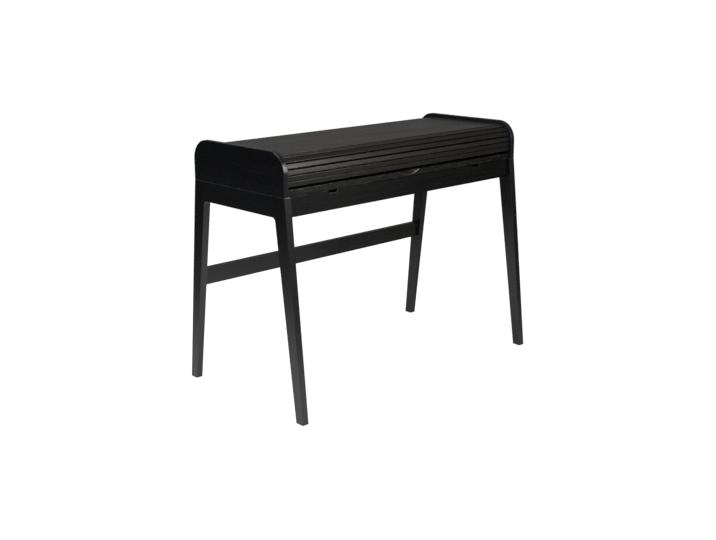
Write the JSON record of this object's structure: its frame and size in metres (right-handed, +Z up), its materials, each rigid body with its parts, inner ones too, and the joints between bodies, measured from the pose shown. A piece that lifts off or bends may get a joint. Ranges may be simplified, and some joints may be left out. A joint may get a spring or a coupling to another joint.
{
  "type": "tambour desk",
  "caption": "Free-standing writing desk on splayed tapered legs, with a slatted roll-back curtain between round-cornered cheeks and a shallow drawer below.",
  "frame": {"origin": "on the floor, under the middle of the desk", "axes": "+X to the sitter's right as they face the desk, -Y towards the sitter, +Z up"},
  "size_m": [1.1, 0.6076, 0.85],
  "materials": {
    "stained_ash": "satin black stain over open-grained ash",
    "drawer_ply": "black-stained plywood, satin",
    "dowel_beech": "plain turned beech",
    "curtain_canvas": "plain woven black canvas",
    "glide_felt": "matte black"
  },
  "bodies": {
    "carcass": {"leg_front_left": "stained_ash", "leg_rear_left": "stained_ash", "side_rail_left": "stained_ash", "cheek_left": "stained_ash", "drawer_runner_left": "stained_ash", "leg_front_right": "stained_ash", "leg_rear_right": "stained_ash", "side_rail_right": "stained_ash", "cheek_right": "stained_ash", "drawer_runner_right": "stained_ash", "rear_stretcher": "stained_ash", "writing_board": "stained_ash", "inner_back": "stained_ash", "rear_rail": "stained_ash", "back_panel": "stained_ash", "rail_dowels": "dowel_beech", "cheek_dowels": "dowel_beech", "stretcher_dowels": "dowel_beech", "foot_glides": "glide_felt"},
    "drawer": {"drawer_front": "stained_ash", "drawer_side_left": "drawer_ply", "drawer_side_right": "drawer_ply", "drawer_back": "drawer_ply", "drawer_bottom": "drawer_ply"},
    "curtain_top": {"top_slats": "stained_ash", "canvas_top": "curtain_canvas"},
    "curtain_front": {"lead_rail": "stained_ash", "front_slat": "stained_ash"},
    "front_bend_slat_1": {"front_bend_slat_1": "stained_ash"},
    "front_bend_slat_2": {"front_bend_slat_2": "stained_ash"},
    "front_bend_slat_3": {"front_bend_slat_3": "stained_ash"},
    "front_bend_slat_4": {"front_bend_slat_4": "stained_ash"},
    "front_bend_slat_5": {"front_bend_slat_5": "stained_ash"},
    "rear_turn_slat_1": {"rear_turn_slat_1": "stained_ash"},
    "rear_turn_slat_2": {"rear_turn_slat_2": "stained_ash"},
    "rear_turn_slat_3": {"rear_turn_slat_3": "stained_ash"},
    "rear_turn_slat_4": {"rear_turn_slat_4": "stained_ash"},
    "curtain_rear": {"rear_slats": "stained_ash"},
    "tail_slat_1": {"tail_slat_1": "stained_ash"},
    "tail_slat_2": {"tail_slat_2": "stained_ash"},
    "tail_slat_3": {"tail_slat_3": "stained_ash"},
    "tail_slat_4": {"tail_slat_4": "stained_ash"}
  },
  "joints": [
    {"name": "drawer_slide", "type": "slide", "parent": "carcass", "child": "drawer", "axis": [0, -1, 0], "range_m": [0, 0.24]},
    {"name": "curtain_slide", "type": "slide", "parent": "carcass", "child": "curtain_top", "axis": [0, 1, 0], "range_m": [0, 0.12]},
    {"name": "curtain_front_turn", "type": "hinge", "parent": "carcass", "child": "curtain_front", "pos_m": [0, -0.14627, 0.75827], "axis": [-1, 0, 0], "range_deg": [0, 90]},
    {"name": "front_bend_slat_1_turn", "type": "hinge", "parent": "carcass", "child": "front_bend_slat_1", "pos_m": [0, -0.14372, 0.75322], "axis": [-1, 0, 0], "range_deg": [0, 84.16]},
    {"name": "front_bend_slat_2_turn", "type": "hinge", "parent": "carcass", "child": "front_bend_slat_2", "pos_m": [0, -0.13502, 0.72804], "axis": [-1, 0, 0], "range_deg": [0, 64.22]},
    {"name": "front_bend_slat_3_turn", "type": "hinge", "parent": "carcass", "child": "front_bend_slat_3", "pos_m": [0, -0.12632, 0.67901], "axis": [-1, 0, 0], "range_deg": [0, 44.28]},
    {"name": "front_bend_slat_4_turn", "type": "hinge", "parent": "carcass", "child": "front_bend_slat_4", "pos_m": [0, -0.11762, 0.55002], "axis": [-1, 0, 0], "range_deg": [0, 24.34]},
    {"name": "front_bend_slat_5_turn", "type": "hinge", "parent": "carcass", "child": "front_bend_slat_5", "pos_m": [0, -0.10892, -0.73283], "axis": [-1, 0, 0], "range_deg": [0, 4.4]},
    {"name": "rear_turn_slat_1_turn", "type": "hinge", "parent": "carcass", "child": "rear_turn_slat_1", "pos_m": [0, 0.09548, -0.37968], "axis": [-1, 0, 0], "range_deg": [0, 5.68]},
    {"name": "rear_turn_slat_2_turn", "type": "hinge", "parent": "carcass", "child": "rear_turn_slat_2", "pos_m": [0, 0.10418, 0.56432], "axis": [-1, 0, 0], "range_deg": [0, 25.62]},
    {"name": "rear_turn_slat_3_turn", "type": "hinge", "parent": "carcass", "child": "rear_turn_slat_3", "pos_m": [0, 0.11288, 0.68347], "axis": [-1, 0, 0], "range_deg": [0, 45.56]},
    {"name": "rear_turn_slat_4_turn", "type": "hinge", "parent": "carcass", "child": "rear_turn_slat_4", "pos_m": [0, 0.12158, 0.73015], "axis": [-1, 0, 0], "range_deg": [0, 65.5]},
    {"name": "curtain_rear_turn", "type": "hinge", "parent": "carcass", "child": "curtain_rear", "pos_m": [0, 0.13227, 0.75827], "axis": [-1, 0, 0], "range_deg": [0, 90]},
    {"name": "tail_slat_1_turn", "type": "hinge", "parent": "carcass", "child": "tail_slat_1", "pos_m": [0, 0.12539, 0.75489], "axis": [-1, 0, 0], "range_deg": [0, 82.25]},
    {"name": "tail_slat_2_turn", "type": "hinge", "parent": "carcass", "child": "tail_slat_2", "pos_m": [0, 0.09873, 0.74619], "axis": [-1, 0, 0], "range_deg": [0, 62.32]},
    {"name": "tail_slat_3_turn", "type": "hinge", "parent": "carcass", "child": "tail_slat_3", "pos_m": [0, 0.04591, 0.73749], "axis": [-1, 0, 0], "range_deg": [0, 42.38]},
    {"name": "tail_slat_4_turn", "type": "hinge", "parent": "carcass", "child": "tail_slat_4", "pos_m": [0, -0.10016, 0.72879], "axis": [-1, 0, 0], "range_deg": [0, 22.44]}
  ],
  "couplings": [
    {"joint": "curtain_front_turn", "follows": "curtain_slide", "rad_per_m": 13.09},
    {"joint": "front_bend_slat_1_turn", "follows": "curtain_slide", "rad_per_m": 12.24},
    {"joint": "front_bend_slat_2_turn", "follows": "curtain_slide", "rad_per_m": 9.34},
    {"joint": "front_bend_slat_3_turn", "follows": "curtain_slide", "rad_per_m": 6.44},
    {"joint": "front_bend_slat_4_turn", "follows": "curtain_slide", "rad_per_m": 3.54},
    {"joint": "front_bend_slat_5_turn", "follows": "curtain_slide", "rad_per_m": 0.63997},
    {"joint": "rear_turn_slat_1_turn", "follows": "curtain_slide", "rad_per_m": 0.8267},
    {"joint": "rear_turn_slat_2_turn", "follows": "curtain_slide", "rad_per_m": 3.7267},
    {"joint": "rear_turn_slat_3_turn", "follows": "curtain_slide", "rad_per_m": 6.6267},
    {"joint": "rear_turn_slat_4_turn", "follows": "curtain_slide", "rad_per_m": 9.5267},
    {"joint": "curtain_rear_turn", "follows": "curtain_slide", "rad_per_m": 13.09},
    {"joint": "tail_slat_1_turn", "follows": "curtain_slide", "rad_per_m": 11.963},
    {"joint": "tail_slat_2_turn", "follows": "curtain_slide", "rad_per_m": 9.0633},
    {"joint": "tail_slat_3_turn", "follows": "curtain_slide", "rad_per_m": 6.1633},
    {"joint": "tail_slat_4_turn", "follows": "curtain_slide", "rad_per_m": 3.2633}
  ]
}
